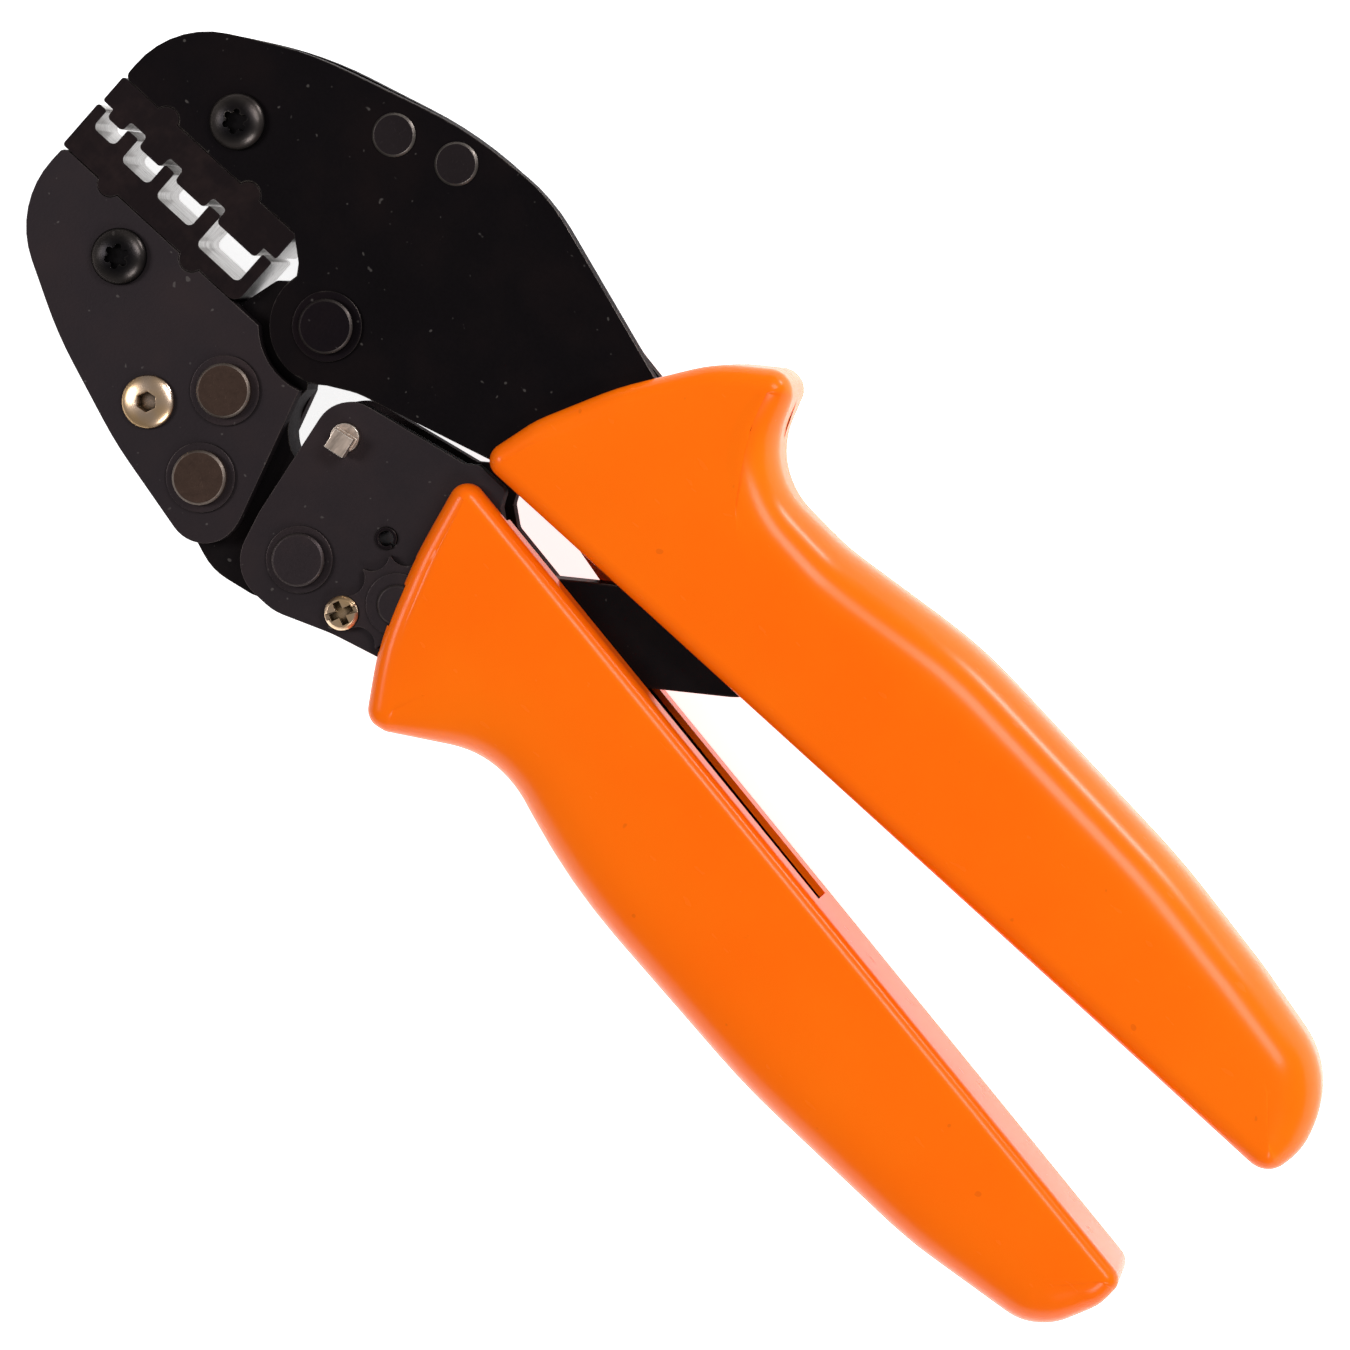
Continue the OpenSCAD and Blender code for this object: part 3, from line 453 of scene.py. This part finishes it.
def slab(points, side, start, end):
    """A prism for cutting or joining, between two heights measured from the seam towards side."""
    n = len(points)
    area = sum(
        points[i - 1][0] * points[i][1] - points[i][0] * points[i - 1][1] for i in range(n)
    )
    if area < 0:
        points = points[::-1]
    z0, z1 = sorted((side * start, side * end))
    verts = [(x, y, z0) for x, y in points] + [(x, y, z1) for x, y in points]
    faces = [tuple(range(n))[::-1], tuple(range(n, 2 * n))]
    faces += [(i, (i + 1) % n, (i + 1) % n + n, i + n) for i in range(n)]
    return solid("slab", verts, faces)


def circle(at, r, sides=64):
    """Points round a circle."""
    angles = [2 * math.pi * k / sides for k in range(sides)]
    return [(at[0] + r * math.cos(angle), at[1] + r * math.sin(angle)) for angle in angles]


def cut(obj, cutters, operation="DIFFERENCE"):
    """Takes the cutters out of obj for good, or joins them to it."""
    for cutter in cutters:
        modifier = obj.modifiers.new("cut", "BOOLEAN")
        modifier.operation = operation
        modifier.solver = "MANIFOLD"
        modifier.object = cutter
    depsgraph = bpy.context.evaluated_depsgraph_get()
    depsgraph.update()
    mesh = bpy.data.meshes.new_from_object(obj.evaluated_get(depsgraph))
    obj.modifiers.clear()
    obj.data = mesh
    for cutter in cutters:
        bpy.data.objects.remove(cutter)


# Half the grips' thickness and the rise of their faces, in millimetres.
HALF_T = 10.5
CROWN = 0.15
# Points along each long side, steps over the rounded edge and steps across the face.
ROWS = 110
ARC = 10
ACROSS = 12


def grip_loop(path):
    """The outline as two chains of ROWS points that share their ends, and the way inward at each."""
    edge = outline(path)
    edge = np.roll(edge, -int(np.argmin(edge[:, 0])), 0)
    far = int(np.argmax(edge[:, 0]))
    low = resample(edge[: far + 1], ROWS)
    high = resample(np.vstack([edge[far:], edge[:1]])[::-1], ROWS)
    loop = np.vstack([low, high[-2:0:-1]])
    loop[:, 2] = smooth_closed(loop[:, 2], 3)
    tangent = np.roll(loop[:, :2], -1, 0) - np.roll(loop[:, :2], 1, 0)
    tangent /= np.linalg.norm(tangent, axis=1)[:, None]
    inward = smooth_closed(np.stack([-tangent[:, 1], tangent[:, 0]], 1), 1)
    inward /= np.linalg.norm(inward, axis=1)[:, None]
    return loop, inward


def wall_rings(loop, inward):
    """Rings of points: one at the seam, then ARC + 1 up the wall's top and over the rounded edge."""
    radius = loop[:, 2]
    shoulder = HALF_T - CROWN - radius
    rings = [np.column_stack([loop[:, :2], np.zeros(len(loop))])]
    for k in range(ARC + 1):
        angle = math.pi / 2 * k / ARC
        ring = loop[:, :2] + inward * (radius * (1 - math.cos(angle)))[:, None]
        rings.append(np.column_stack([ring, shoulder + radius * math.sin(angle)]))
    return rings


def cap(edge, edge_start, grid_start, crown):
    """The inner points and the cells of a cap across a ring, in rows from its low to its high chain."""
    n = len(edge)
    points = []
    for i in range(1, ROWS - 1):
        a, b = edge[i], edge[n - i]
        ends = math.sin(math.pi * min(1.0, 6.0 * min(i, ROWS - 1 - i) / ROWS) / 2)
        for k in range(1, ACROSS):
            t = k / ACROSS
            rise = crown * ends * (1 - abs(2 * t - 1) ** 2.2)
            points.append(a + (b - a) * t + np.array([0, 0, rise]))

    def index(i, k):
        """Where the point at row i and step k is among all the points."""
        if k == 0 or i in (0, ROWS - 1):
            return edge_start + i
        if k == ACROSS:
            return edge_start + n - i
        return grid_start + (i - 1) * (ACROSS - 1) + k - 1

    cells = []
    for i in range(ROWS - 1):
        for k in range(ACROSS):
            cell = [index(i, k), index(i + 1, k), index(i + 1, k + 1), index(i, k + 1)]
            distinct = [v for m, v in enumerate(cell) if v != cell[m - 1]]
            if len(distinct) > 2:
                cells.append(tuple(distinct))
    return points, cells


def grip_half(name, path, side):
    """Half a grip: walls up from the seam, an edge of varying radius and a slightly crowned face."""
    loop, inward = grip_loop(path)
    rings = wall_rings(loop, inward)
    n = len(loop)
    faces = []
    for k in range(len(rings) - 1):
        for i in range(n):
            j = (i + 1) % n
            faces.append((k * n + i, k * n + j, (k + 1) * n + j, (k + 1) * n + i))
    top_start, grid_start = (len(rings) - 1) * n, len(rings) * n
    face_points, face_cells = cap(rings[-1], top_start, grid_start, CROWN)
    seam_points, seam_cells = cap(rings[0], 0, grid_start + len(face_points), 0.0)
    faces += face_cells + [cell[::-1] for cell in seam_cells]
    verts = np.vstack([*rings, *face_points, *seam_points])
    if side < 0:
        verts[:, 2] *= -1
        faces = [face[::-1] for face in faces]
    return solid(name, verts, faces)


# The grips' corners: x, y, the corner's round in plan, and the edge's radius there.
FIXED_PATH = [
    (-180.6, -1.6, 4, 3.4), (-182, -7.5, 9, 6.5), (-178.5, -18.4, 14, 7.5), (-160, -22.6, 60, 8.5),
    (-142, -25.7, 120, 8.5), (-100, -29, 70, 9), (-76, -26.4, 30, 9), (-60.4, -27, 12, 7),
    (-55.2, -41.4, 3.4, 3.2), (-45.3, -34.1, 22, 3.2), (-37, -21.8, 40, 2.8),
    (-31.5, -10.5, 14, 2.6), (-29, -0.9, 2.6, 2.4),
]
MOVING_PATH = [
    (-28.6, 1.7, 2.6, 2.4), (-31.6, 15.5, 60, 2.6), (-35.8, 28.2, 40, 2.8), (-42, 38, 3, 2.8),
    (-45.4, 37.5, 3.4, 3.2), (-59.5, 29.4, 16, 8), (-79, 36.4, 90, 9), (-118, 40.7, 120, 9),
    (-150, 40.9, 60, 8.5), (-172, 37.9, 9, 7), (-175.9, 28.4, 9, 4), (-175.9, 23, 2.4, 2.2),
]
# What is cut out of them: the plates' pockets, the lever's stop and the slots for lever and link.
FIXED_POCKET = [
    (-20, -34), (-20, 1.6), (-31.6, -1.9), (-44, -2.4), (-167.3, -3.4), (-167.3, -12.6),
    (-150, -17.4), (-98, -21), (-64, -21), (-44, -26.2), (-35, -29),
]
MOVING_POCKET = [
    (-20, -0.8), (-20, 37.4), (-46, 28.2), (-62, 26.4), (-100, 31.3), (-138, 33.6), (-161.4, 32),
    (-158.3, 21.7), (-38.7, 3.9), (-36.5, 1.6), (-35.2, -0.8),
]
STOP_RELIEF = [(-24, 3), (-24, -1.6), (-37, -3.2), (-38.5, 3)]
FIXED_SLOT = [(-50, 3), (-51.5, -4), (-84, -4), (-86, 3)]
MOVING_SLOT = [(-26, 0), (-26, 8), (-105, 17.6), (-107, 16.6), (-107.5, 11)]
# The back halves differ along their inner edges: a lip on one, a step on the other.
BACK_LIP = [(-42, -0.6), (-57, 2.8), (-70, 2.8), (-77, -0.6), (-77, -2.4), (-42, -2.4)]
BACK_CUTAWAY = [(-24, 0), (-24, 5), (-37, 5.4), (-60, 9.2), (-61.5, 3)]

# Heights above the seam, in millimetres. Cutters start at different depths past the seam, and
# inside each other, so that no two of their faces lie in one plane.
FACE_Z = 7.15
RELIEF_Z = 7.3
SLOT_Z = 4.3
LIP_Z = 8.9
STEP_Z = 4.05
PAST_FACE = 12
ADJUSTER = (-34.4, 22.6)
WHEEL_ROOM_R, WHEEL_ROOM_Z = 7.35, 8.7
PIN_ROOM_R, PIN_ROOM_Z = 3.2, 9.3
BACK_ROOM_R = 5


def finish_grip(obj, node, body):
    """Shading, a fine bevel on the cut edges, the material and the body of a grip half."""
    obj.data.shade_smooth()
    obj.data.set_sharp_from_angle(angle=math.radians(50))
    bevel = obj.modifiers.new("bevel", "BEVEL")
    bevel.width = 0.35 * MM
    bevel.segments = 2
    bevel.limit_method = "ANGLE"
    bevel.angle_limit = math.radians(50)
    weight = obj.modifiers.new("weight", "WEIGHTED_NORMAL")
    weight.keep_sharp = True
    dress(obj, "orange_grip")
    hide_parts(node)
    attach(obj, body)


SIDES = {"front": 1, "back": -1}

for place, side in SIDES.items():
    shell = grip_half(f"fixed_grip_{place}_shell", FIXED_PATH, side)
    if place == "back":
        cut(shell, [slab(BACK_LIP, side, SLOT_Z, LIP_Z)], "UNION")
    cut(shell, [
        slab(FIXED_POCKET, side, -1.0, FACE_Z),
        slab(STOP_RELIEF, side, -1.1, RELIEF_Z),
        slab(FIXED_SLOT, side, -1.2, SLOT_Z),
    ])
    finish_grip(shell, f"fixed_grip_{place}", "frame")

for place, side in SIDES.items():
    shell = grip_half(f"moving_grip_{place}_shell", MOVING_PATH, side)
    cutters = [slab(MOVING_POCKET, side, -1.0, FACE_Z), slab(MOVING_SLOT, side, -1.2, SLOT_Z)]
    if place == "front":
        cutters.append(slab(circle(ADJUSTER, WHEEL_ROOM_R), side, 6.0, WHEEL_ROOM_Z))
        cutters.append(slab(circle(ADJUSTER, PIN_ROOM_R), side, 6.1, PIN_ROOM_Z))
    else:
        cutters.append(slab(BACK_CUTAWAY, side, STEP_Z, PAST_FACE))
        cutters.append(slab(circle(ADJUSTER, BACK_ROOM_R), side, 6.0, WHEEL_ROOM_Z))
    cut(shell, cutters)
    finish_grip(shell, f"moving_grip_{place}", "handle")

# ---------------------------------------------------------------- springs


def spring(name, p, q, coil_r, wire_r, coils, leg, steps=28, sides=10):
    """A tension spring from p to q: close coils between two straight legs; millimetres."""
    p, q = np.array([*p, 0.0]), np.array([*q, 0.0])
    axis = (q - p) / np.linalg.norm(q - p)
    side = np.array([-axis[1], axis[0], 0.0])
    n = coils * steps
    pitch = (np.linalg.norm(q - p) - 2 * leg) / n
    lift = np.array([0.0, 0.0, 1.0])
    angles = [2 * math.pi * i / steps for i in range(n + 1)]
    radial = [math.cos(angle) * side + math.sin(angle) * lift for angle in angles]
    bend = 3 * wire_r
    path = [p, p + axis * (leg - bend)]
    path += [p + axis * (leg + pitch * i) + coil_r * radial[i] for i in range(n + 1)]
    path += [q - axis * (leg - bend), q]
    outs = [side, side, *radial, side, side]
    m = len(path)
    verts, faces = [], []
    for i in range(m):
        t = path[min(m - 1, i + 1)] - path[max(0, i - 1)]
        t = t / np.linalg.norm(t)
        e = outs[i] - (outs[i] @ t) * t
        e = e / np.linalg.norm(e)
        f = np.cross(t, e)
        for k in range(sides):
            a = 2 * math.pi * k / sides
            verts.append(path[i] + wire_r * (math.cos(a) * e + math.sin(a) * f))
    for i in range(m - 1):
        for k in range(sides):
            a, b = i * sides + k, i * sides + (k + 1) % sides
            faces.append((a, b, b + sides, a + sides))
    faces.append(tuple(range(sides))[::-1])
    faces.append(tuple(range((m - 1) * sides, m * sides)))
    obj = solid(name, verts, faces)
    obj.data.shade_smooth()
    dress(obj, "spring_steel")
    return obj


# The hooks' places on the lever's tab and the frame spacer's ear.
TAB, EAR = (-6.9, -5.4), (-6.6, -28.2)
return_spring = spring("return_spring_wire", TAB, EAR, coil_r=2.2, wire_r=0.4, coils=14, leg=4)
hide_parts("return_spring")
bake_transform(return_spring)

# The end of the pawl's arm, and the side of the roll pin that faces it.
ARM_END, ROLL_PIN = np.array((-19.35, 11.7)), np.array((-26.7, 16.8))
ROLL_PIN_REACH = 1.7
TOWARDS = (ARM_END - ROLL_PIN) / np.linalg.norm(ARM_END - ROLL_PIN)
PIN_SIDE = ROLL_PIN + ROLL_PIN_REACH * TOWARDS
pawl_spring = spring("pawl_spring_wire", ARM_END, PIN_SIDE, coil_r=0.95, wire_r=0.2, coils=8, leg=1)
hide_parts("pawl_spring")
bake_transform(pawl_spring)

# ---------------------------------------------------------------- floor and lights

FLOOR_REACH = 3
FLOOR_Z = -0.3 * MM
floor_mesh = bpy.data.meshes.new("floor")
floor_corners = [(FLOOR_REACH * i, FLOOR_REACH * j, 0) for i, j in ((-1, -1), (1, -1), (1, 1), (-1, 1))]
floor_mesh.from_pydata(floor_corners, [], [(0, 1, 2, 3)])
floor = bpy.data.objects.new("floor", floor_mesh)
floor.location.z = FLOOR_Z
scene.collection.objects.link(floor)
paper = Shader("paper")
paper.set(Base_Color=(0.9, 0.9, 0.9, 1), Roughness=0.95, Specular_IOR_Level=0.1)
paper.set(Emission_Color=(1.0, 1.0, 1.0, 1), Emission_Strength=0.88)
paper.set(Normal=paper.bump(paper.noise(900.0, 2.0, 0.5), 0.05, 0.0001))
floor_mesh.materials.append(paper.mat)

softbox("key", (-0.15, -0.75, 0.85), (0.55, 0.3), 6.6)
softbox("side", (0.7, 0.35, 0.8), (0.35, 0.35), 3.8)
softbox("strip", (-0.12, -0.9, 0.07), (0.24, 0.09), 3.0, aim=(-0.03, -0.03, 0.015))
softbox("tail", (-0.75, 0.25, 0.7), (0.4, 0.3), 3.8)
